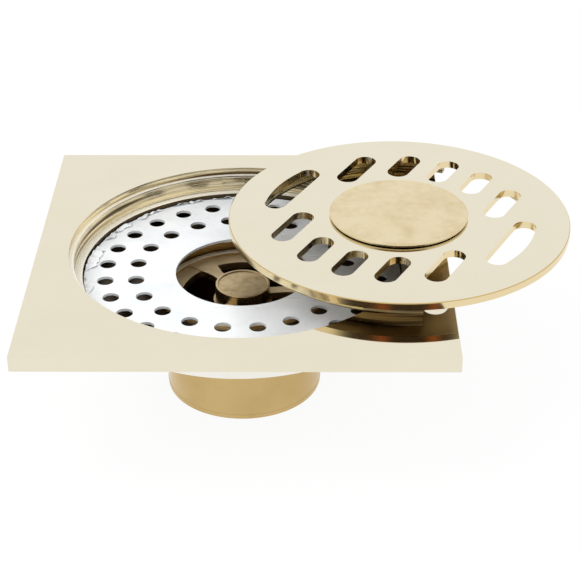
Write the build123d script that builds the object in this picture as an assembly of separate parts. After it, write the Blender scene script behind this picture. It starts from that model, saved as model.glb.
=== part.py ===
"""Square brass floor drain with a lift-off round grate, strainer and odour trap.

Frame: +Z up, origin at the centre of the outlet tube's lower end, millimetres.
The grate lies beside its recess, its lugs on the panel's top, as when the drain is opened.
"""
from build123d import *
from math import hypot
import os

# Panel and recess (driving dimensions)
panel_side = 120.0
panel_thickness = 4.7
panel_edge_bevel = 0.2
drain_height = 46.0
recess_radius = 50.7
recess_depth = 2.25
throat_radius = 49.5
throat_depth = 7.4
throat_ledge_width = 2.3
notch_count = 3
notch_angle = 95.0
notch_width = 7.2
notch_height = 2.5
notch_cut = 0.8

# Well under the panel
well_rim_wall = 2.0
well_rim_drop = 1.8
well_wall = 4.0
well_radius_step = 2.5
well_floor = 1.6
well_depth = 14.35

# Outlet tube
tube_radius = 23.3
tube_wall = 2.0
collar_wall = 2.0
collar_floor = 1.6

# Strainer
strainer_drop = 8.8
strainer_thickness = 0.8
strainer_clearance = 0.3
strainer_seat_width = 1.9
strainer_mouth_radius = 19.8
strainer_hole_radius = 2.45
inner_ring_radius = 31.6
inner_ring_count = 20
inner_ring_angle = 117.7
outer_ring_radius = 40.6
outer_ring_count = 26
outer_ring_angle = 105.2

# Trap core
core_drop = 15.2
core_ring_radius = 24.7
core_ring_height = 3.4
core_clearance = 0.3
core_lip_width = 1.7
core_lip_height = 1.2
arm_count = 3
arm_angle = 127.0
arm_width = 3.4
arm_height = 2.0
arm_drop = 0.8
arm_overlap = 0.3
arm_flare = 2.6
arm_flare_length = 5.0
sleeve_wall = 2.2
sleeve_gap = 0.7
sleeve_length = 17.4
groove_width = 1.7
groove_depth = 1.05
o_ring_wire = 0.8
o_ring_gap = 0.15
o_ring_drops = (4.0, 9.0)

# Hub, stem and valve
edge_round = 0.25
hub_radius = 8.15
hub_drop = 13.0
hub_height = 13.0
hub_wall = 1.5
hub_floor = 1.4
hub_foot_radius = 8.8
hub_foot_height = 1.0
hub_cover_depth = 0.3
hub_cover_ledge = 0.6
hub_cover_thickness = 1.2
bush_radius = 3.2
stem_radius = 1.8
stem_clearance = 0.05
stem_head_clearance = 1.15
stem_head_height = 1.5
stem_head_gap = 0.6
spring_wire = 0.35
spring_clearance = 1.9
spring_turns = 4
gasket_thickness = 1.0
gasket_width = 2.6
valve_thickness = 1.6
washer_thickness = 0.5
washer_radius = 4.2
nut_radius = 3.6
nut_height = 2.0
stem_end = 0.2

# Round grate
lid_radius = 50.3
lid_thickness = 2.2
lid_centre = (46.3, 6.9)
lid_turn = -28.0
lid_edge_bevel = 0.25
lug_height = 4.2
lug_inset = 5.2
lug_width = 2.1
lug_count = 3
lug_arc = 88.0
lug_angle = -100.0
slot_width = 6.6
slot_rows = ((0.0, 32.2, 15.2), (12.15, 29.8, 15.2), (24.3, 21.0, 19.0))
end_slot_offset = 35.65
end_slot_length = 28.0

# Cap over the hose port in the middle of the grate
port_radius = 15.0
port_wall = 2.2
cap_radius = 20.45
cap_height = 1.1
cap_bevel = 0.45
cap_dish = 0.15
cap_rim = 1.4
cap_gasket_thickness = 0.3
cap_gasket_radius = 19.2
plug_gap = 0.4
plug_wall = 1.6
plug_depth = 5.0
plug_groove = 0.9
plug_wire = 0.55
plug_ring_gap = 0.12

# Levels and sizes that follow from the above
panel_top = drain_height
panel_bottom = panel_top - panel_thickness
throat_bottom = panel_top - throat_depth
well_outer = throat_radius + well_rim_wall
well_shoulder = throat_bottom - well_rim_drop
well_bottom = panel_top - well_depth
well_floor_top = well_bottom + well_floor
strainer_top = panel_top - strainer_drop
strainer_bottom = strainer_top - strainer_thickness
seat_wall_radius = throat_radius - throat_ledge_width
well_inner = seat_wall_radius - strainer_seat_width
strainer_radius = seat_wall_radius - strainer_clearance
core_top = panel_top - core_drop
core_seat = core_top - core_ring_height
socket_radius = core_ring_radius + core_clearance
collar_radius = socket_radius + collar_wall
collar_bottom = core_seat - collar_floor
tube_bore = tube_radius - tube_wall
sleeve_radius = tube_bore - sleeve_gap
sleeve_bore = sleeve_radius - sleeve_wall
sleeve_bottom = core_seat - sleeve_length
hub_top = panel_top - hub_drop
hub_bottom = hub_top - hub_height
hub_bore = hub_radius - hub_wall
hub_floor_top = hub_bottom + hub_floor
hub_cover_top = hub_top - hub_cover_depth
hub_cover_bottom = hub_cover_top - hub_cover_thickness
arm_top = core_top - arm_drop
stem_bore = stem_radius + stem_clearance
stem_head_radius = hub_bore - stem_head_clearance
spring_radius = hub_bore - spring_clearance - spring_wire
head_top = hub_cover_bottom - stem_head_gap
head_bottom = head_top - stem_head_height
gasket_bottom = sleeve_bottom - gasket_thickness
valve_bottom = gasket_bottom - valve_thickness
washer_bottom = valve_bottom - washer_thickness
nut_bottom = washer_bottom - nut_height
lid_bottom = panel_top + lug_height
lid_top = lid_bottom + lid_thickness
lug_outer = lid_radius - lug_inset
cap_bottom = lid_top + cap_gasket_thickness
cap_top = cap_bottom + cap_height
plug_radius = port_radius - plug_gap
plug_bottom = lid_top - plug_depth
lid_place = Location((lid_centre[0], lid_centre[1], 0), (0, 0, lid_turn))


def turned(*points):
    """Solid of revolution about Z from (radius, height) corners."""
    outline = Polyline(*[(radius, 0, height) for radius, height in points], close=True)
    return revolve(make_face(outline), axis=Axis.Z)


def ring(outer, inner, low, high):
    """Plain ring between two radii and two heights."""
    return turned((inner, low), (outer, low), (outer, high), (inner, high))


def disc(radius, low, high):
    """Plain round disc or rod between two heights."""
    return Pos(0, 0, low) * Cylinder(radius, high - low, align=(Align.CENTER, Align.CENTER, Align.MIN))


def block(length, width, low, high, inner=0.0):
    """Bar along +X from the radius inner, centred on Y."""
    shape = Box(length, width, high - low, align=(Align.MIN, Align.CENTER, Align.MIN))
    return Pos(inner, 0, low) * shape


def around(count, first_angle, shape):
    """Copies of a shape about Z."""
    return [Rot(0, 0, first_angle + index * 360 / count) * shape for index in range(count)]


def round_edges(part, height):
    """Circular edges of a part that lie at one height."""
    return part.edges().filter_by(GeomType.CIRCLE).filter_by_position(Axis.Z, height, height)


def square_panel():
    """Cast square flange with the recess that the grate drops into."""
    plate = Pos(0, 0, panel_bottom) * Box(
        panel_side, panel_side, panel_thickness, align=(Align.CENTER, Align.CENTER, Align.MIN))
    rim = plate.edges().filter_by_position(Axis.Z, panel_top, panel_top)
    plate = chamfer(rim + plate.edges().filter_by(Axis.Z), panel_edge_bevel)
    plate -= disc(recess_radius, panel_top - recess_depth, panel_top + 1)
    plate -= disc(throat_radius, panel_bottom - 1, panel_top)
    return plate - notches()


def notches():
    """Shallow pockets in the throat that the grate's lugs turn past."""
    pocket_high = panel_top - recess_depth - 0.5
    pocket = block(2 * notch_cut, notch_width, pocket_high - notch_height, pocket_high,
                   throat_radius - notch_cut)
    return around(notch_count, notch_angle, pocket)


def well_bowl():
    """Well below the panel, with the strainer's seat and a hole for the outlet."""
    bowl = turned(
        (throat_radius, panel_bottom), (well_outer, panel_bottom), (well_outer, well_shoulder),
        (well_outer - well_radius_step, well_shoulder), (well_outer - well_radius_step, well_bottom),
        (collar_radius, well_bottom), (collar_radius, well_floor_top), (well_inner, well_floor_top),
        (well_inner, strainer_bottom), (seat_wall_radius, strainer_bottom),
        (seat_wall_radius, throat_bottom), (throat_radius, throat_bottom))
    return bowl - notches()


def outlet_tube():
    """Outlet spigot with the wider collar that the trap core sits in."""
    return turned(
        (tube_bore, 0), (tube_radius, 0), (tube_radius, collar_bottom), (collar_radius, collar_bottom),
        (collar_radius, well_floor_top), (socket_radius, well_floor_top), (socket_radius, core_seat),
        (tube_bore, core_seat))


def strainer_disc():
    """Stamped sheet with two staggered rings of holes and a wide mouth."""
    sheet = ring(strainer_radius, strainer_mouth_radius, strainer_bottom, strainer_top)
    hole = disc(strainer_hole_radius, strainer_bottom - 1, strainer_top + 1)
    sheet -= around(inner_ring_count, inner_ring_angle, Pos(inner_ring_radius, 0, 0) * hole)
    sheet -= around(outer_ring_count, outer_ring_angle, Pos(outer_ring_radius, 0, 0) * hole)
    return sheet


def core_ring():
    """Flanged ring of the trap core, with three arms that carry the hub."""
    lip_radius = core_ring_radius - core_lip_width
    body = turned(
        (sleeve_bore, core_seat), (core_ring_radius, core_seat), (core_ring_radius, core_top),
        (lip_radius, core_top), (lip_radius, core_top - core_lip_height),
        (sleeve_bore, core_top - core_lip_height))
    body = fillet(round_edges(body, core_top), edge_round)
    reach = lip_radius + arm_overlap
    arm = block(reach - hub_radius, arm_width, arm_top - arm_height, arm_top, hub_radius)
    middle = arm_top - arm_height / 2
    foot = loft([
        Pos(sleeve_bore - arm_flare_length, 0, middle) * Rot(0, 90, 0) * Rectangle(arm_height, arm_width),
        Pos(reach, 0, middle) * Rot(0, 90, 0) * Rectangle(arm_height, arm_flare * arm_width)])
    body += around(arm_count, arm_angle, arm)
    body += around(arm_count, arm_angle, foot)
    return body - disc(hub_radius, hub_bottom, hub_top)


def core_sleeve():
    """Sleeve below the ring, with two grooves for the O-rings."""
    sleeve = ring(sleeve_radius, sleeve_bore, sleeve_bottom, core_seat)
    for drop in o_ring_drops:
        middle = core_seat - drop
        sleeve -= ring(sleeve_radius + 1, sleeve_radius - groove_depth,
                       middle - groove_width / 2, middle + groove_width / 2)
    return sleeve


def core_o_rings():
    """Two O-rings that centre the sleeve in the tube's bore."""
    centre_radius = tube_bore - o_ring_gap - o_ring_wire
    loop = Torus(centre_radius, o_ring_wire)
    return Part() + [Pos(0, 0, core_seat - drop) * loop for drop in o_ring_drops]


def hub_housing():
    """Cup in the middle of the spider that guides the stem and hides its spring."""
    cup = turned(
        (bush_radius, hub_bottom), (hub_radius, hub_bottom), (hub_radius, hub_top),
        (hub_bore + hub_cover_ledge, hub_top), (hub_bore + hub_cover_ledge, hub_cover_bottom), (hub_bore, hub_cover_bottom),
        (hub_bore, hub_floor_top), (bush_radius, hub_floor_top))
    cup = fillet(round_edges(cup, hub_top), edge_round)
    foot_high = arm_top - arm_height
    return cup + ring(hub_foot_radius, hub_radius - 0.1, foot_high - hub_foot_height, foot_high)


def valve_spring():
    """Coil spring between the hub's floor and the stem's head."""
    low = hub_floor_top + spring_wire
    high = head_bottom - spring_wire
    path = Helix(pitch=(high - low) / spring_turns, height=high - low, radius=spring_radius)
    section = Plane(path @ 0, z_dir=path % 0) * Circle(spring_wire)
    return Pos(0, 0, low) * sweep(section, path=path, is_frenet=True)


def valve_nut():
    """Hexagon nut under the valve plate."""
    body = Pos(0, 0, nut_bottom) * extrude(RegularPolygon(nut_radius, 6), nut_height)
    return body - disc(stem_radius, nut_bottom - 1, washer_bottom + 1)


def lid_slots():
    """Cutters for the grate's two rows of slots and the long slot at each end."""
    cutters = []
    for across, offset, length in slot_rows:
        for side in (1, -1):
            for mirror in ((1, -1) if across else (1,)):
                cutters.append(Pos(mirror * across, side * offset) * Rot(0, 0, 90)
                               * SlotOverall(length, slot_width))
    straight = (end_slot_length - slot_width) / 2
    outer_edge = end_slot_offset + slot_width / 2
    belly = Circle(hypot(outer_edge, straight))
    belly &= Pos(outer_edge, 0) * Rectangle(slot_width, 2 * straight)
    long_slot = Pos(end_slot_offset, 0) * Rot(0, 0, 90) * SlotOverall(end_slot_length, slot_width)
    long_slot += belly
    cutters += [long_slot, Rot(0, 0, 180) * long_slot]
    return [Pos(0, 0, lid_bottom - 1) * extrude(shape, lid_thickness + 2) for shape in cutters]


def lid_plate():
    """Round grate plate with slots and the hose port."""
    plate = ring(lid_radius, port_radius, lid_bottom, lid_top)
    outer_rim = round_edges(plate, lid_top).sort_by(SortBy.RADIUS)[-1:]
    plate = chamfer(outer_rim, lid_edge_bevel)
    return lid_place * (plate - lid_slots())


def lid_lugs():
    """Arc lugs under the plate that drop into the throat and turn past its pockets."""
    hoop = ring(lug_outer, lug_outer - lug_width, panel_top, lid_bottom)
    near_side = Vector(2 * lug_outer, 0).rotate(Axis.Z, -lug_arc / 2)
    far_side = Vector(2 * lug_outer, 0).rotate(Axis.Z, lug_arc / 2)
    sector = make_face(Polyline((0, 0), near_side, far_side, close=True))
    wedge = Pos(0, 0, panel_top) * extrude(sector, lug_height)
    arc = hoop & wedge
    return lid_place * (Part() + around(lug_count, lug_angle, arc))


def port_collar():
    """Short collar under the plate around the hose port."""
    return lid_place * ring(port_radius + port_wall, port_radius, panel_top, lid_bottom)


def cap_disc():
    """Cap with a bevelled edge and a faintly raised rim."""
    dish = cap_radius - cap_rim
    return lid_place * turned(
        (0, cap_bottom), (cap_radius - cap_bevel / 2, cap_bottom), (cap_radius, cap_bottom + cap_bevel / 2),
        (cap_radius, cap_top - cap_bevel), (cap_radius - cap_bevel, cap_top), (dish + 0.3, cap_top),
        (dish, cap_top - cap_dish), (0, cap_top - cap_dish))


def cap_gasket():
    """Thin rubber washer between cap and plate."""
    return lid_place * ring(cap_gasket_radius, plug_radius, lid_top, cap_bottom)


def cap_plug():
    """Cup under the cap that pushes into the hose port."""
    cup = turned(
        (0, cap_bottom - plug_wall), (plug_radius - plug_wall, cap_bottom - plug_wall),
        (plug_radius - plug_wall, plug_bottom), (plug_radius, plug_bottom), (plug_radius, cap_bottom),
        (0, cap_bottom))
    middle = (plug_bottom + lid_top) / 2
    cup -= ring(plug_radius + 1, plug_radius - plug_groove, middle - plug_wire, middle + plug_wire)
    return lid_place * cup


def cap_o_ring():
    """O-ring that holds the plug in the port."""
    loop = Torus(port_radius - plug_ring_gap - plug_wire, plug_wire)
    return lid_place * Pos(0, 0, (plug_bottom + lid_top) / 2) * loop


nodes = {
    "square_panel": square_panel(),
    "well_bowl": well_bowl(),
    "outlet_tube": outlet_tube(),
    "strainer_disc": strainer_disc(),
    "core_ring": core_ring(),
    "core_sleeve": core_sleeve(),
    "core_o_rings": core_o_rings(),
    "hub_housing": hub_housing(),
    "hub_cover": disc(hub_bore + hub_cover_ledge, hub_cover_bottom, hub_cover_top),
    "stem_bush": ring(bush_radius, stem_bore, hub_bottom, hub_floor_top),
    "valve_spring": valve_spring(),
    "stem_head": ring(stem_head_radius, stem_radius, head_bottom, head_top),
    "valve_stem": disc(stem_radius, nut_bottom - stem_end, head_top),
    "valve_gasket": ring(sleeve_radius, sleeve_radius - gasket_width, gasket_bottom, sleeve_bottom),
    "valve_plate": ring(sleeve_radius, stem_radius, valve_bottom, gasket_bottom),
    "valve_washer": ring(washer_radius, stem_radius, washer_bottom, valve_bottom),
    "valve_nut": valve_nut(),
    "lid_plate": lid_plate(),
    "lid_lugs": lid_lugs(),
    "port_collar": port_collar(),
    "cap_disc": cap_disc(),
    "cap_gasket": cap_gasket(),
    "cap_plug": cap_plug(),
    "cap_o_ring": cap_o_ring(),
}

os.makedirs("parts", exist_ok=True)
for name, shape in nodes.items():
    export_step(shape, f"parts/{name}.step")
    print(name, round(shape.volume, 1))
print("valve reaches", round(nut_bottom - stem_end, 2), "above the tube's end")
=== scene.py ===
# %% [markdown]
# # A square brass floor drain, opened for cleaning
# The frame brings in every solid of the drain at its real size: panel, well, outlet tube, grate, cap,
# strainer and the odour trap. This lesson gives them their metal, adds the fine turned and torn
# details, and sets the light. Everything is in metres, with +Z up and the tube's end at the origin.

# %% Load the frame
import bpy
import random
from math import cos, radians, sin, tau
from mathutils import Matrix, Vector


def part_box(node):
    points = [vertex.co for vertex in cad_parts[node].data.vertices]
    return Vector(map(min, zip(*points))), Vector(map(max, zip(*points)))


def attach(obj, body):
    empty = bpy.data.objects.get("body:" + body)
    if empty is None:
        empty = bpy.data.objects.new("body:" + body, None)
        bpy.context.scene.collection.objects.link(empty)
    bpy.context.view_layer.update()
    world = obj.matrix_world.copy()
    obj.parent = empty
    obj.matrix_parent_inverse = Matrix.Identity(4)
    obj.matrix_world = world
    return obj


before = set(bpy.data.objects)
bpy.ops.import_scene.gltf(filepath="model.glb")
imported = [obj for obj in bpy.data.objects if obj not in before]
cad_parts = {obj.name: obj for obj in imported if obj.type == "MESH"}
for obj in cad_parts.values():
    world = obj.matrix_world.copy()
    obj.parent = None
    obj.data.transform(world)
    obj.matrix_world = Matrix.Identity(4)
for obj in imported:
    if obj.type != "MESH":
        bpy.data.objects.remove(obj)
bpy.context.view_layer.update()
scene = bpy.context.scene
MM = 0.001

# %% [markdown]
# ## Helpers
# Most finishes below are small node trees. A helper that adds a node and fills its sockets by name
# keeps each tree to a few readable lines.

# %% Node helpers
def add(tree, kind, **values):
    """Adds a node; values set its properties, or its sockets where a property has no such name."""
    made = tree.nodes.new(kind)
    for name, value in values.items():
        if hasattr(made, name):
            setattr(made, name, value)
        else:
            made.inputs[name.replace("_", " ")].default_value = value
    return made


def maths(tree, operation, first, second):
    """A Math node between two sockets or numbers; gives its output socket."""
    made = tree.nodes.new("ShaderNodeMath")
    made.operation = operation
    for socket, value in zip(made.inputs, (first, second)):
        if isinstance(value, (int, float)):
            socket.default_value = value
        else:
            tree.links.new(value, socket)
    return made.outputs[0]


def new_group(name, inputs, outputs):
    """A shader node group with named inputs {name: default} and outputs [(name, type)]."""
    tree = bpy.data.node_groups.new(name, "ShaderNodeTree")
    for label, default in inputs.items():
        kind = "NodeSocketColor" if isinstance(default, tuple) else "NodeSocketFloat"
        socket = tree.interface.new_socket(name=label, in_out="INPUT", socket_type=kind)
        socket.default_value = default
    for label, kind in outputs:
        tree.interface.new_socket(name=label, in_out="OUTPUT", socket_type=kind)
    return tree, tree.nodes.new("NodeGroupInput"), tree.nodes.new("NodeGroupOutput")


def distance_from_axis(tree, parts):
    """How far a point lies from the object's Z axis, from its separated coordinates."""
    across = maths(tree, "MULTIPLY", parts.outputs["X"], parts.outputs["X"])
    along = maths(tree, "MULTIPLY", parts.outputs["Y"], parts.outputs["Y"])
    return maths(tree, "POWER", maths(tree, "ADD", across, along), 0.5)


# A Mix node keeps one set of sockets per data type. These are the numbers of its factor, its two
# colours, its mixed colour, its two plain numbers and its mixed number.
FACTOR = 0
COLOUR_A = 6
COLOUR_B = 7
COLOUR_OUT = 2
NUMBER_A = 2
NUMBER_B = 3
NUMBER_OUT = 0
print("helpers ready")

# %% [markdown]
# ## Wipe marks
# Polished brass is never evenly glossy: a cloth leaves long faint streaks and cloudy spots. They
# could be painted as colour, but on the real drain they only change how sharp the reflections are,
# so the group puts out a roughness. A noise stretched along one axis makes the streaks, a second
# one makes the clouds, and both follow the piece when it moves, because they read its own place.

# %% Group: wipe marks
def wipe_marks():
    tree, given, out = new_group(
        "Wipe marks", {"Scale": 60.0, "Lowest": 0.04, "Highest": 0.12}, [("Roughness", "NodeSocketFloat")])
    place = add(tree, "ShaderNodeTexCoord")
    stretch = add(tree, "ShaderNodeMapping", Scale=(1.0, 7.0, 1.0), Rotation=(0.0, 0.0, radians(24)))
    streaks = add(tree, "ShaderNodeTexNoise", Detail=6.0, Roughness=0.6)
    clouds = add(tree, "ShaderNodeTexNoise", Detail=3.0)
    spread = add(tree, "ShaderNodeMapRange")
    tree.links.new(place.outputs["Object"], stretch.inputs["Vector"])
    tree.links.new(stretch.outputs["Vector"], streaks.inputs["Vector"])
    tree.links.new(place.outputs["Object"], clouds.inputs["Vector"])
    tree.links.new(given.outputs["Scale"], streaks.inputs["Scale"])
    tree.links.new(given.outputs["Scale"], clouds.inputs["Scale"])
    both = maths(tree, "MULTIPLY", streaks.outputs["Fac"], clouds.outputs["Fac"])
    tree.links.new(both, spread.inputs["Value"])
    spread.inputs["From Min"].default_value = 0.12
    spread.inputs["From Max"].default_value = 0.42
    tree.links.new(given.outputs["Lowest"], spread.inputs["To Min"])
    tree.links.new(given.outputs["Highest"], spread.inputs["To Max"])
    tree.links.new(spread.outputs["Result"], out.inputs["Roughness"])
    return tree


wipes = wipe_marks()
print("group", wipes.name)

# %% [markdown]
# ## Patina
# Handling darkens brass in soft patches. A painted texture would fix them at one scale, so a group
# makes them from a noise instead, and each metal sets how small and how strong they are. It mixes a
# clean and a worn colour, and the amount says how far it goes towards the worn one.

# %% Group: patina
def patina():
    tree, given, out = new_group(
        "Patina", {"Clean": (0.8, 0.7, 0.5, 1), "Worn": (0.5, 0.35, 0.2, 1), "Scale": 40.0, "Amount": 0.3},
        [("Colour", "NodeSocketColor")])
    place = add(tree, "ShaderNodeTexCoord")
    noise = add(tree, "ShaderNodeTexNoise", Detail=8.0, Roughness=0.65)
    curve = add(tree, "ShaderNodeMapRange")
    curve.inputs["From Min"].default_value = 0.42
    curve.inputs["From Max"].default_value = 0.72
    mix = add(tree, "ShaderNodeMix", data_type="RGBA")
    tree.links.new(place.outputs["Object"], noise.inputs["Vector"])
    tree.links.new(given.outputs["Scale"], noise.inputs["Scale"])
    tree.links.new(noise.outputs["Fac"], curve.inputs["Value"])
    share = maths(tree, "MULTIPLY", curve.outputs["Result"], given.outputs["Amount"])
    tree.links.new(share, mix.inputs[FACTOR])
    tree.links.new(given.outputs["Clean"], mix.inputs[COLOUR_A])
    tree.links.new(given.outputs["Worn"], mix.inputs[COLOUR_B])
    tree.links.new(mix.outputs[COLOUR_OUT], out.inputs["Colour"])
    return tree


tarnish = patina()
print("group", tarnish.name)

# %% [markdown]
# ## Tool lines
# The tube and the trap come off a lathe, so they carry fine rings about the axis. Real grooves would
# take millions of faces, so these are a bump. One noise over height plus radius draws them: it
# changes with height on upright walls and with radius on flat faces. The group puts out a height
# for a Bump node, which stays in the material.

# %% Group: tool lines
def tool_lines():
    tree, given, out = new_group(
        "Tool lines", {"Lines": 900.0, "Unevenness": 3.0}, [("Height", "NodeSocketFloat")])
    place = add(tree, "ShaderNodeTexCoord")
    parts = add(tree, "ShaderNodeSeparateXYZ")
    tree.links.new(place.outputs["Object"], parts.inputs[0])
    radius = distance_from_axis(tree, parts)
    travel = maths(tree, "ADD", radius, parts.outputs["Z"])
    rings = add(tree, "ShaderNodeTexNoise", noise_dimensions="1D", Detail=4.0)
    tree.links.new(maths(tree, "MULTIPLY", travel, given.outputs["Lines"]), rings.inputs["W"])
    tree.links.new(given.outputs["Unevenness"], rings.inputs["Scale"])
    tree.links.new(rings.outputs["Fac"], out.inputs["Height"])
    return tree


turning = tool_lines()
print("group", turning.name)

# %% [markdown]
# ## Zones
# One casting can be polished on top and turned inside its recess, and its deepest part is painted dark
# as shade. The group tells these zones apart from the place on the piece: it puts out 1 inside a given
# radius and below a given height, and 0 elsewhere. The step is sharp, as between two tool passes on a
# lathe.

# %% Group: zones
def zones():
    tree, given, out = new_group("Zones", {"Radius": 1.0, "Height": 1.0}, [("Mask", "NodeSocketFloat")])
    place = add(tree, "ShaderNodeTexCoord")
    parts = add(tree, "ShaderNodeSeparateXYZ")
    tree.links.new(place.outputs["Object"], parts.inputs[0])
    radius = distance_from_axis(tree, parts)
    inside = maths(tree, "LESS_THAN", radius, given.outputs["Radius"])
    under = maths(tree, "LESS_THAN", parts.outputs["Z"], given.outputs["Height"])
    tree.links.new(maths(tree, "MULTIPLY", inside, under), out.inputs["Mask"])
    return tree


zone = zones()
print("group", zone.name)

# %% [markdown]
# ## Painted reflection bands
# On an upright turned wall, each tool line reflects a slightly different height, so the wall reads as
# stacked brown and gold bands. The group paints these reflections into the colour as bands over height,
# long and level round the wall. It puts out their painted colour, and a mask that is 1 where a band is
# painted bright.

# %% Group: painted reflection bands
def painted_reflection_bands():
    tree, given, out = new_group(
        "Painted reflection bands", {"Bright": (0.8, 0.7, 0.45, 1), "Dark": (0.1, 0.06, 0.03, 1), "Bands": 900.0},
        [("Colour", "NodeSocketColor"), ("Mask", "NodeSocketFloat")])
    level_stretch = 0.018
    place = add(tree, "ShaderNodeTexCoord")
    squash = add(tree, "ShaderNodeMapping", Scale=(level_stretch, level_stretch, 1.0))
    noise = add(tree, "ShaderNodeTexNoise", Detail=5.0, Roughness=0.55)
    spread = add(tree, "ShaderNodeMapRange")
    spread.inputs["From Min"].default_value = 0.43
    spread.inputs["From Max"].default_value = 0.57
    mix = add(tree, "ShaderNodeMix", data_type="RGBA")
    tree.links.new(place.outputs["Object"], squash.inputs["Vector"])
    tree.links.new(squash.outputs["Vector"], noise.inputs["Vector"])
    tree.links.new(given.outputs["Bands"], noise.inputs["Scale"])
    tree.links.new(noise.outputs["Fac"], spread.inputs["Value"])
    tree.links.new(spread.outputs["Result"], mix.inputs[FACTOR])
    tree.links.new(given.outputs["Dark"], mix.inputs[COLOUR_A])
    tree.links.new(given.outputs["Bright"], mix.inputs[COLOUR_B])
    tree.links.new(mix.outputs[COLOUR_OUT], out.inputs["Colour"])
    tree.links.new(spread.outputs["Result"], out.inputs["Mask"])
    return tree


# streaks holds the group of painted reflection bands
streaks = painted_reflection_bands()
print("group", streaks.name)

# %% [markdown]
# ## The metals
# Every finish here is a Principled BSDF with its colour from the patina group and its roughness
# from the wipe marks, so one function makes them all. A metal adds tool lines. What differs is how
# far each piece was polished: the panel and the grate are near mirrors, the cap is brushed satin,
# the tube and the trap are bare turned brass.

# %% Finish and metal makers
def place_group(tree, group, **values):
    """Puts a node group into a tree and fills its sockets by name."""
    made = tree.nodes.new("ShaderNodeGroup")
    made.node_tree = group
    for name, value in values.items():
        made.inputs[name].default_value = value
    return made


def base_finish(name, clean, worn, amount, low, high, spots, smears, metallic=0.0):
    """A material with a patina colour and a wiped roughness.

    The amount of wear goes from 0 to 1, and low and high are the ends of its roughness. Spots and
    smears say how small the worn patches and the wipe marks are.
    """
    made = bpy.data.materials.new(name)
    made.use_nodes = True
    tree = made.node_tree
    shader = tree.nodes["Principled BSDF"]
    shader.inputs["Metallic"].default_value = metallic
    colour = place_group(tree, tarnish, Clean=(*clean, 1), Worn=(*worn, 1), Scale=spots, Amount=amount)
    gloss = place_group(tree, wipes, Scale=smears, Lowest=low, Highest=high)
    tree.links.new(colour.outputs["Colour"], shader.inputs["Base Color"])
    tree.links.new(gloss.outputs["Roughness"], shader.inputs["Roughness"])
    return made


def bump_up(tree, height, strength, distance):
    """Bumps a material's surface by a height socket, to a distance in metres."""
    bump = add(tree, "ShaderNodeBump", Strength=strength, Distance=distance)
    tree.links.new(height, bump.inputs["Height"])
    tree.links.new(bump.outputs["Normal"], tree.nodes["Principled BSDF"].inputs["Normal"])


METAL_SMEARS = 55.0


def metal(name, clean, worn, amount, low, high, lines=0.0, depth=0.0, spots=40.0):
    """A brass or steel finish; lines set how close its tool marks lie, and depth how deep they are."""
    made = base_finish(name, clean, worn, amount, low, high, spots, METAL_SMEARS, metallic=1.0)
    if lines:
        tree = made.node_tree
        cut = place_group(tree, turning, Lines=lines)
        bump_up(tree, cut.outputs["Height"], 0.6, depth)
    return made


PALE_BRASS = (0.80, 0.745, 0.595)
HANDLED_BRASS = (0.74, 0.67, 0.50)

polished = metal("polished_brass", PALE_BRASS, HANDLED_BRASS, amount=0.25, low=0.015, high=0.05)
tube = metal("turned_brass", (0.60, 0.43, 0.19), (0.47, 0.32, 0.12),
             amount=0.6, low=0.16, high=0.28, lines=900.0, depth=0.08 * MM)
trap = metal("trap_brass", (0.60, 0.47, 0.27), (0.30, 0.20, 0.10),
             amount=0.8, low=0.20, high=0.38, lines=900.0, depth=0.1 * MM, spots=110.0)
# A near-black copy of the trap brass for the sleeve and the valve plate: painted shade inside the trap.
painted_shade_trap = metal("painted_shade_brass", (0.26, 0.14, 0.055), (0.06, 0.032, 0.014),
                  amount=0.9, low=0.15, high=0.35, lines=900.0, depth=0.1 * MM, spots=60.0)
cap_top = metal("brushed_cap", (0.80, 0.685, 0.45), (0.60, 0.45, 0.22),
                amount=0.65, low=0.22, high=0.40, spots=120.0)
steel = metal("bright_steel", (0.72, 0.73, 0.74), (0.5, 0.5, 0.5), amount=0.3, low=0.12, high=0.25)
hub_top = metal("worn_hub", (0.60, 0.47, 0.27), (0.34, 0.24, 0.12),
                amount=0.85, low=0.32, high=0.55, spots=420.0)
print("metals", [item.name for item in (polished, tube, trap, painted_shade_trap, cap_top, steel, hub_top)])

# %% [markdown]
# ## Laying one finish over another
# The panel, the well, the grate, its lugs and the trap's ring change finish within one piece, and most
# of them also carry painted reflections, highlights or shade. Their materials start from a plain finish
# and lay a second colour, roughness or metallic value over it, where a mask says so. A mask comes from the
# zone group, or from how the surface faces.

# %% Layers and facing masks
def lay_over(tree, socket_name, mask, value):
    """Mixes a colour or number over what a Principled socket holds, by a mask socket."""
    socket = tree.nodes["Principled BSDF"].inputs[socket_name]
    colour = socket_name == "Base Color"
    mix = add(tree, "ShaderNodeMix", data_type="RGBA" if colour else "FLOAT")
    first, second = (COLOUR_A, COLOUR_B) if colour else (NUMBER_A, NUMBER_B)
    tree.links.new(mask, mix.inputs[FACTOR])
    if socket.links:
        tree.links.new(socket.links[0].from_socket, mix.inputs[first])
    else:
        mix.inputs[first].default_value = socket.default_value
    if isinstance(value, (int, float, tuple)):
        mix.inputs[second].default_value = value
    else:
        tree.links.new(value, mix.inputs[second])
    tree.links.new(mix.outputs[COLOUR_OUT if colour else NUMBER_OUT], socket)


def lift_of_normal(tree):
    """The Z part of the surface's normal: 1 on a top, 0 on a wall and -1 underneath."""
    facing = add(tree, "ShaderNodeNewGeometry")
    parts = add(tree, "ShaderNodeSeparateXYZ")
    tree.links.new(facing.outputs["Normal"], parts.inputs[0])
    return parts.outputs["Z"]


STEEP = 0.5
FLAT = 0.9


def wall_mask(tree):
    """1 where the surface stands upright."""
    return maths(tree, "LESS_THAN", maths(tree, "ABSOLUTE", lift_of_normal(tree), 0.0), STEEP)


def under_mask(tree):
    """1 where the surface looks down."""
    return maths(tree, "LESS_THAN", lift_of_normal(tree), -STEEP)


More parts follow.
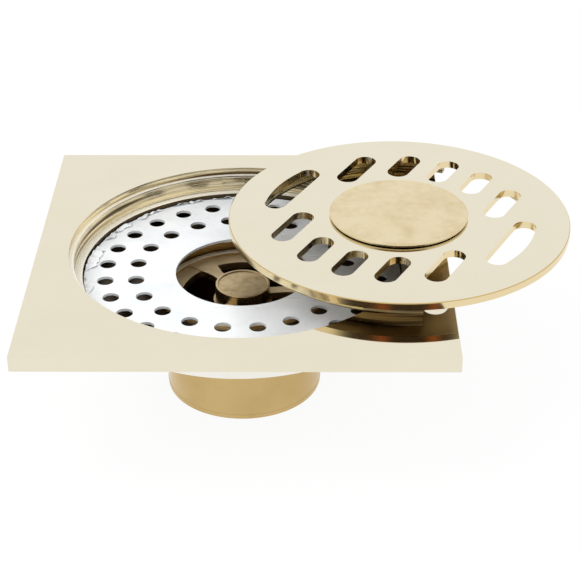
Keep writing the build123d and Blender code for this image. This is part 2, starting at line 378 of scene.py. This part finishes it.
def bevel_mask(tree):
    """1 where the surface leans up, as a bevel does."""
    leaning = maths(tree, "GREATER_THAN", lift_of_normal(tree), STEEP)
    return maths(tree, "MULTIPLY", leaning, maths(tree, "LESS_THAN", lift_of_normal(tree), FLAT))


def without(tree, mask, taken):
    """What is left of a mask once another one is taken away."""
    return maths(tree, "MAXIMUM", maths(tree, "SUBTRACT", mask, taken), 0.0)


print("facing limits", STEEP, FLAT)

# %% [markdown]
# ## Panel and well
# The recess is turned in the same casting as the polished top. Its walls carry painted reflection
# bands and its ledges a painted highlight, while the top is a mirror. The bottom of the well is painted
# dark as shade. One function makes both pieces' brass: it asks where the recess ends, and where the
# painted shade begins.

# %% Brass of the panel and the well
panel_low, panel_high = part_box("square_panel")
strainer_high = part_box("strainer_disc")[1]
throat_radius = 50.9 * MM
seat_radius = strainer_high[0] + 0.5 * MM
ledge_height = strainer_high[2] + 1.38 * MM
margin = 1 * MM
gloss_spread = 0.035
BAND_STRENGTH = 0.8


def recess_brass(name, painted_shade_radius, painted_shade_below, outside=PALE_BRASS, gloss=0.015):
    """Plain outside; painted reflection bands on the recess walls, a painted highlight on the ledges, and
    painted dark shade inside a radius and below a height.
    """
    made = metal(name, outside, HANDLED_BRASS, amount=0.25, low=gloss, high=gloss + gloss_spread)
    tree = made.node_tree
    wall = wall_mask(tree)
    under = under_mask(tree)
    inner = place_group(tree, zone, Radius=throat_radius, Height=panel_high[2] + margin)
    below_ledge = place_group(tree, zone, Radius=throat_radius, Height=ledge_height)
    # The turned walls get painted reflection bands: gold and brown colour standing in for reflections.
    band = place_group(
        tree, streaks, Bright=(0.92, 0.78, 0.50, 1), Dark=(0.11, 0.07, 0.03, 1), Bands=650.0)
    turned = maths(tree, "MULTIPLY", wall, inner.outputs["Mask"])
    turned = without(tree, turned, below_ledge.outputs["Mask"])
    lay_over(tree, "Base Color", turned, band.outputs["Colour"])
    lay_over(tree, "Roughness", turned, 0.13)
    bump_up(tree, maths(tree, "MULTIPLY", turned, band.outputs["Mask"]), BAND_STRENGTH, 0.04 * MM)
    # The level ledges are painted near white, rougher and less metallic, as a painted highlight.
    lower = place_group(tree, zone, Radius=throat_radius, Height=panel_high[2] - margin)
    painted_highlight_ledges = without(tree, maths(tree, "SUBTRACT", lower.outputs["Mask"], wall), under)
    lay_over(tree, "Base Color", painted_highlight_ledges, (1.0, 0.97, 0.86, 1))
    lay_over(tree, "Roughness", painted_highlight_ledges, 0.45)
    lay_over(tree, "Metallic", painted_highlight_ledges, 0.35)
    # Inside a radius and below a height the brass is painted near black, as painted shade deep in the
    # drain.
    deep = place_group(tree, zone, Radius=painted_shade_radius, Height=painted_shade_below)
    painted_deep_shade = without(tree, deep.outputs["Mask"], under)
    lay_over(tree, "Base Color", painted_deep_shade, (0.095, 0.065, 0.035, 1))
    lay_over(tree, "Roughness", painted_deep_shade, 0.35)
    return made


panel_brass = recess_brass("panel_brass", throat_radius, panel_low[2] - margin)
well_brass = recess_brass("well_brass", seat_radius, ledge_height, outside=(0.88, 0.86, 0.80), gloss=0.16)
print("recess finishes", panel_brass.name, well_brass.name)

# %% [markdown]
# ## Lugs and grate
# The lugs under the grate are turned like the recess, so they carry the same painted reflection bands,
# on walls made less metallic so that the lamps light the bright bands. The grate itself is a mirror on top
# and softer on its walls; its walls and bevels are tinted gold as painted reflection, and its underside is
# cast, dull and painted dark as shade.

# %% Brass of the lugs and the grate
def lug_brass():
    """Turned brass for the lugs and the collar, with painted reflection bands on its walls."""
    made = metal("lug_brass", (0.78, 0.69, 0.50), (0.60, 0.47, 0.28), amount=0.5, low=0.06, high=0.16)
    tree = made.node_tree
    wall = wall_mask(tree)
    # The walls get painted reflection bands, and a lower metallic value lets the lamps light the bright
    # bands.
    band = place_group(
        tree, streaks, Bright=(1.0, 0.82, 0.42, 1), Dark=(0.03, 0.015, 0.006, 1), Bands=620.0)
    lay_over(tree, "Base Color", wall, band.outputs["Colour"])
    lay_over(tree, "Metallic", wall, 0.6)
    lay_over(tree, "Roughness", wall, 0.12)
    bump_up(tree, band.outputs["Mask"], BAND_STRENGTH, 0.08 * MM)
    return made


def grate_brass():
    """Mirror polish on top; softer walls; gold painted reflection tints on the walls and bevels; cast,
    rough and painted dark as shade underneath.
    """
    made = metal("grate_brass", PALE_BRASS, HANDLED_BRASS, amount=0.25, low=0.015, high=0.05)
    tree = made.node_tree
    under = under_mask(tree)
    wall = wall_mask(tree)
    # The underside is rough cast brass, and its dark colour is painted shade.
    lay_over(tree, "Base Color", under, (0.34, 0.25, 0.13, 1))
    lay_over(tree, "Roughness", under, 0.45)
    # The bevels and walls are tinted deeper gold as painted reflection.
    lay_over(tree, "Base Color", bevel_mask(tree), (0.62, 0.46, 0.20, 1))
    lay_over(tree, "Base Color", wall, (0.80, 0.66, 0.40, 1))
    lay_over(tree, "Roughness", wall, 0.14)
    return made


lug_metal = lug_brass()
grate_metal = grate_brass()
print("grate finishes", lug_metal.name, grate_metal.name)

# %% [markdown]
# ## Trap ring
# The ring at the trap's mouth is bare brass, lighter than the rest of the trap. Its level
# faces are less metallic, as if matt with dirt, and its topmost lip is painted pale as a highlight.

# %% Brass of the trap ring
def spider_brass():
    """Bare trap brass, matt on its level faces, whose topmost rim is painted pale as a highlight."""
    made = metal("spider_brass", (0.78, 0.62, 0.38), (0.45, 0.32, 0.16),
                 amount=0.7, low=0.26, high=0.42, lines=900.0, depth=0.1 * MM, spots=110.0)
    tree = made.node_tree
    past_the_ring = 30 * MM
    lip_depth = 0.35 * MM
    level = maths(tree, "SUBTRACT", 1.0, maths(tree, "ADD", wall_mask(tree), under_mask(tree)))
    lay_over(tree, "Metallic", level, 0.45)
    ring_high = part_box("core_ring")[1]
    below_lip = place_group(tree, zone, Radius=past_the_ring, Height=ring_high[2] - lip_depth)
    # Above this height the rim is painted pale, rougher and less metallic, as a painted highlight.
    painted_highlight_lip = maths(tree, "SUBTRACT", 1.0, below_lip.outputs["Mask"])
    lay_over(tree, "Base Color", painted_highlight_lip, (0.95, 0.88, 0.70, 1))
    lay_over(tree, "Roughness", painted_highlight_lip, 0.55)
    lay_over(tree, "Metallic", painted_highlight_lip, 0.3)
    return made


spider = spider_brass()
print("ring finish", spider.name)

# %% [markdown]
# ## Strainer sheet
# The strainer is pale stainless sheet, still dull from its protective film. It reads almost white,
# so it is only partly metallic, with a faint grain and small smears.

# %% Strainer material
def strainer_sheet():
    """Pale sheet with a fine grain."""
    made = base_finish("strainer_sheet", (0.86, 0.885, 0.90), (0.62, 0.65, 0.68),
                       amount=0.5, low=0.24, high=0.46, spots=70.0, smears=80.0, metallic=0.12)
    tree = made.node_tree
    grain = add(tree, "ShaderNodeTexNoise", Scale=900.0, Detail=3.0)
    place = add(tree, "ShaderNodeTexCoord")
    tree.links.new(place.outputs["Object"], grain.inputs["Vector"])
    bump_up(tree, grain.outputs["Fac"], 0.25, 0.15 * MM)
    return made


sheet = strainer_sheet()
print("material", sheet.name)

# %% [markdown]
# ## Rubber
# O-rings and gaskets are matt black rubber with a little dust in it. The same maker gives it a
# colour that is never quite black and a high roughness, and no metallic value.

# %% Rubber material
rubber = base_finish("black_rubber", (0.018, 0.017, 0.016), (0.07, 0.065, 0.06),
                     amount=0.6, low=0.45, high=0.7, spots=120.0, smears=90.0)
print("material", rubber.name)

# %% [markdown]
# ## Giving each piece its finish
# The solids keep their shape from the frame. Only the material in their slot changes, and the print
# at the end shows that no solid was forgotten.

# %% Assign materials
finishes = {
    "square_panel": panel_brass, "well_bowl": well_brass, "outlet_tube": tube, "strainer_disc": sheet,
    "core_ring": spider, "core_sleeve": painted_shade_trap, "core_o_rings": rubber, "hub_housing": trap,
    "hub_cover": hub_top, "stem_bush": trap, "valve_spring": steel, "stem_head": trap,
    "valve_stem": steel, "valve_gasket": rubber, "valve_plate": painted_shade_trap, "valve_washer": steel,
    "valve_nut": tube, "lid_plate": grate_metal, "lid_lugs": lug_metal, "port_collar": lug_metal,
    "cap_disc": cap_top, "cap_gasket": rubber, "cap_plug": tube, "cap_o_ring": rubber}

for node_name, finish in finishes.items():
    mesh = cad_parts[node_name].data
    mesh.materials.clear()
    mesh.materials.append(finish)
print("finished", len(finishes), "nodes; left over", sorted(set(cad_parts) - set(finishes)))

# %% [markdown]
# ## Torn film on the strainer
# The sheet's protective film was peeled off, and torn shreds stay along its outer edge. A texture
# could not lift off the sheet, so each shred is a thin ragged strip of its own that follows the
# edge. A random walk tears its inner side, and its fixed seed tears it the same way every time.

# %% Film shreds
def film_material():
    """Thin crumpled film with a glossy coat."""
    made = base_finish("torn_film", (0.86, 0.88, 0.89), (0.55, 0.57, 0.58),
                       amount=0.8, low=0.25, high=0.5, spots=400.0, smears=120.0)
    made.node_tree.nodes["Principled BSDF"].inputs["Coat Weight"].default_value = 0.4
    return made


SHRED_THICKNESS = 0.06 * MM
START_WIDTH = 1.0 * MM
NARROWEST = 0.7 * MM
WIDEST = 3.4 * MM
TIP_WIDTH = 0.05 * MM
DEGREES_PER_STEP = 1.2
FEWEST_STEPS = 8
FIRST_SEED = 11
SHRED_ARCS = (
    (92, 104), (106, 121), (124, 137), (139, 158), (160, 181), (184, 197), (200, 214), (318, 336))


def film_shred(name, first, last, seed, finish):
    """A ragged strip along the strainer's edge between two angles in degrees."""
    edge = strainer_high[0] - 0.1 * MM
    level = strainer_high[2] + SHRED_THICKNESS
    tear = random.Random(seed)
    steps = max(FEWEST_STEPS, int((last - first) / DEGREES_PER_STEP))
    width = START_WIDTH
    points = []
    for index in range(steps + 1):
        angle = radians(first + (last - first) * index / steps)
        taper = min(1.0, 6.0 * min(index, steps - index) / steps)
        width = min(WIDEST, max(NARROWEST, width + tear.uniform(-0.9, 0.9) * MM))
        lift = tear.uniform(0.1, 0.9) * MM * taper
        inner = edge - width * taper - TIP_WIDTH
        curl = tear.uniform(0.0, 0.7) * MM * taper
        points.append(Vector((edge * cos(angle), edge * sin(angle), level + curl)))
        points.append(Vector((inner * cos(angle), inner * sin(angle), level + lift)))
    faces = [(2 * i, 2 * i + 1, 2 * i + 3, 2 * i + 2) for i in range(steps)]
    mesh = bpy.data.meshes.new(name)
    mesh.from_pydata(points, [], faces)
    mesh.materials.append(finish)
    piece = bpy.data.objects.new(name, mesh)
    scene.collection.objects.link(piece)
    skin = piece.modifiers.new("thickness", "SOLIDIFY")
    skin.thickness = SHRED_THICKNESS
    skin.offset = 1.0
    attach(piece, "strainer")
    return piece


film = film_material()
shreds = []
for index, (first, last) in enumerate(SHRED_ARCS):
    shreds.append(film_shred(f"film_shred_{index + 1}", first, last, FIRST_SEED + index, film))
print("film shreds", len(shreds))

# %% [markdown]
# ## Turned beads
# A fine bead runs round the throat just above the strainer's ledge, another under the upper ledge,
# and one near the tube's end. They are swept circles, a fraction of a millimetre thick, and they
# are shapes rather than bumps, so that they catch light at any angle.

# %% Beads
BEAD_POINTS = 240


def bead(name, radius, height, thickness, finish):
    """A thin ring of wire section round the drain's axis."""
    curve = bpy.data.curves.new(name, "CURVE")
    curve.dimensions = "3D"
    curve.bevel_depth = thickness
    curve.bevel_resolution = 4
    spline = curve.splines.new("POLY")
    spline.points.add(BEAD_POINTS - 1)
    for index, point in enumerate(spline.points):
        angle = tau * index / BEAD_POINTS
        point.co = (radius * cos(angle), radius * sin(angle), height, 1)
    spline.use_cyclic_u = True
    curve.materials.append(finish)
    piece = bpy.data.objects.new(name, curve)
    scene.collection.objects.link(piece)
    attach(piece, "drain")
    return piece


under_upper_ledge = panel_high[2] - 2.75 * MM
above_strainer = panel_high[2] - 6.9 * MM
near_tube_end = 1.3 * MM
beads = [
    bead("ledge_bead", radius=49.45 * MM, height=above_strainer, thickness=0.2 * MM, finish=polished),
    bead("throat_bead", radius=49.5 * MM, height=under_upper_ledge, thickness=0.14 * MM, finish=polished),
    bead("tube_bead", radius=23.26 * MM, height=near_tube_end, thickness=0.13 * MM, finish=tube)]
print("beads", [piece.name for piece in beads])

# %% [markdown]
# ## Camera
# A long lens from well above the front edge, about a third of a right angle down, so that the view
# reaches into the recess and the far sides shrink only a little. Its place is given in
# millimetres from the middle of the panel's top.

# %% Camera
def look_from(place, heading, dip, roll):
    """Camera matrix from a place, a heading from +Y towards +X, a dip below the horizon and a roll."""
    forward = Vector((sin(heading) * cos(dip), cos(heading) * cos(dip), -sin(dip)))
    side = Vector((cos(heading), -sin(heading), 0))
    up = side.cross(forward)
    right = cos(roll) * side + sin(roll) * up
    top = cos(roll) * up - sin(roll) * side
    turn = Matrix((right, top, -forward)).transposed().to_4x4()
    return Matrix.Translation(place) @ turn


lens = bpy.data.cameras.new("camera")
lens.sensor_width = 36.0
lens.lens = 100.84
lens.clip_start = 0.01
camera = bpy.data.objects.new("camera", lens)
scene.collection.objects.link(camera)
camera_place = Vector((17.52, -416.96, 234.83)) * MM + Vector((0, 0, panel_high[2]))
camera_heading = radians(-0.466)
camera_dip = radians(30.968)
camera_roll = radians(-0.17)
camera.matrix_world = look_from(camera_place, camera_heading, camera_dip, camera_roll)
scene.camera = camera
print("camera at", [round(value, 3) for value in camera_place])

# %% [markdown]
# ## Floor
# A pale floor under the tube. To the eye and to reflections it is nearly all glow, so it reads as
# plain white, and the small matt share that is left keeps a faint soft shadow. The glow doesn't
# light the drain's matt parts, because rays that leave those see only the matt colour.

# %% Floor
GLOW_SHARE = 0.92


def floor_material():
    made = bpy.data.materials.new("pale_floor")
    made.use_nodes = True
    tree = made.node_tree
    tree.nodes.clear()
    path = add(tree, "ShaderNodeLightPath")
    matt = add(tree, "ShaderNodeBsdfDiffuse", Color=(0.93, 0.93, 0.93, 1))
    glow = add(tree, "ShaderNodeEmission", Color=(1, 1, 1, 1), Strength=1.0)
    mix = add(tree, "ShaderNodeMixShader")
    out = add(tree, "ShaderNodeOutputMaterial")
    seen = maths(tree, "MAXIMUM", path.outputs["Is Camera Ray"], path.outputs["Is Glossy Ray"])
    tree.links.new(maths(tree, "MULTIPLY", seen, GLOW_SHARE), mix.inputs[0])
    tree.links.new(matt.outputs[0], mix.inputs[1])
    tree.links.new(glow.outputs[0], mix.inputs[2])
    tree.links.new(mix.outputs[0], out.inputs["Surface"])
    return made


def floor(reach, gap):
    """A square sheet that reaches so far each way, a small gap below the tube's end."""
    mesh = bpy.data.meshes.new("floor")
    corners = [(-reach, -reach, 0), (reach, -reach, 0), (reach, reach, 0), (-reach, reach, 0)]
    mesh.from_pydata(corners, [], [(0, 1, 2, 3)])
    mesh.materials.append(floor_material())
    made = bpy.data.objects.new("floor", mesh)
    made.location.z = -gap
    scene.collection.objects.link(made)
    return made


floor(reach=3.0, gap=0.05 * MM)
print("floor laid")

# %% [markdown]
# ## World
# Polished metal looks like what stands around it, so the room matters as much as the metal. An all
# white room would leave the turned walls flat, and a dark one would blacken the mirror tops from
# behind. So the world is white to the eye and for a first reflection. Only light that has bounced
# off two faces meets dark brown in front, with two copper-coloured patches, which gives the walls
# and the mirror images deep lines. A world's Ray Depth reads one more than the number of bounces,
# so the limit lies at two and a half.

# %% World
DARK_FROM = -0.52
DARK_FULLY_FROM = -0.72
DEPTH_LIMIT = 2.5
SIDE_STOPS = (
    (0.0, (0.95, 0.93, 0.88)), (0.16, (0.95, 0.93, 0.88)), (0.22, (0.03, 0.02, 0.01)),
    (0.36, (0.05, 0.035, 0.02)), (0.41, (0.30, 0.09, 0.03)), (0.46, (0.03, 0.02, 0.01)),
    (0.62, (0.03, 0.02, 0.01)), (0.66, (0.34, 0.11, 0.03)), (0.70, (0.04, 0.025, 0.015)),
    (0.80, (0.03, 0.02, 0.01)), (0.86, (0.95, 0.93, 0.88)))


def studio_world():
    """White all round, with a dark front that only light after two reflections meets."""
    world = bpy.data.worlds.new("studio")
    scene.world = world
    world.use_nodes = True
    tree = world.node_tree
    tree.nodes.clear()
    place = add(tree, "ShaderNodeTexCoord")
    parts = add(tree, "ShaderNodeSeparateXYZ")
    tree.links.new(place.outputs["Generated"], parts.inputs[0])
    front = add(tree, "ShaderNodeMapRange", interpolation_type="SMOOTHSTEP")
    front.inputs["From Min"].default_value = DARK_FROM
    front.inputs["From Max"].default_value = DARK_FULLY_FROM
    tree.links.new(parts.outputs["Y"], front.inputs["Value"])
    side = add(tree, "ShaderNodeValToRGB")
    ramp = side.color_ramp
    while len(ramp.elements) < len(SIDE_STOPS):
        ramp.elements.new(0.5)
    for element, (position, colour) in zip(ramp.elements, SIDE_STOPS):
        element.position = position
        element.color = (*colour, 1)
    spread = add(tree, "ShaderNodeMapRange")
    spread.inputs["From Min"].default_value = -1.0
    spread.inputs["From Max"].default_value = 1.0
    tree.links.new(parts.outputs["X"], spread.inputs["Value"])
    tree.links.new(spread.outputs["Result"], side.inputs["Fac"])
    mix = add(tree, "ShaderNodeMix", data_type="RGBA")
    mix.inputs[COLOUR_A].default_value = (1, 1, 1, 1)
    path = add(tree, "ShaderNodeLightPath")
    again = maths(tree, "GREATER_THAN", path.outputs["Ray Depth"], DEPTH_LIMIT)
    tree.links.new(maths(tree, "MULTIPLY", front.outputs["Result"], again), mix.inputs[FACTOR])
    tree.links.new(side.outputs["Color"], mix.inputs[COLOUR_B])
    seen = add(tree, "ShaderNodeMix", data_type="RGBA")
    seen.inputs[COLOUR_B].default_value = (1, 1, 1, 1)
    tree.links.new(path.outputs["Is Camera Ray"], seen.inputs[FACTOR])
    tree.links.new(mix.outputs[COLOUR_OUT], seen.inputs[COLOUR_A])
    sky = add(tree, "ShaderNodeBackground", Strength=1.0)
    out = add(tree, "ShaderNodeOutputWorld")
    tree.links.new(seen.outputs[COLOUR_OUT], sky.inputs["Color"])
    tree.links.new(sky.outputs[0], out.inputs["Surface"])


studio_world()
print("world set")

# %% [markdown]
# ## Lamps
# One large soft lamp above and to the left gives the matt strainer and the cap their shape, and a
# weaker one from the right fills the shadows. Both are hidden from reflections, so the mirror
# surfaces show only the room.

# %% Lamps
LAMP_TARGET = Vector((0, 0, 0.03))


def soft_lamp(name, place, size, power):
    """A square lamp of a size in metres and a power in watts, turned to the drain's middle."""
    data = bpy.data.lights.new(name, "AREA")
    data.shape = "SQUARE"
    data.size = size
    data.energy = power
    lamp = bpy.data.objects.new(name, data)
    lamp.location = place
    lamp.rotation_euler = (LAMP_TARGET - Vector(place)).to_track_quat("-Z", "Y").to_euler()
    lamp.visible_glossy = False
    scene.collection.objects.link(lamp)
    return lamp


key = soft_lamp("key", place=(-0.45, -0.25, 0.75), size=0.5, power=3.2)
fill = soft_lamp("fill", place=(0.6, -0.5, 0.4), size=0.4, power=1.0)
scene.view_settings.view_transform = "Standard"
print("lamps", key.name, fill.name)
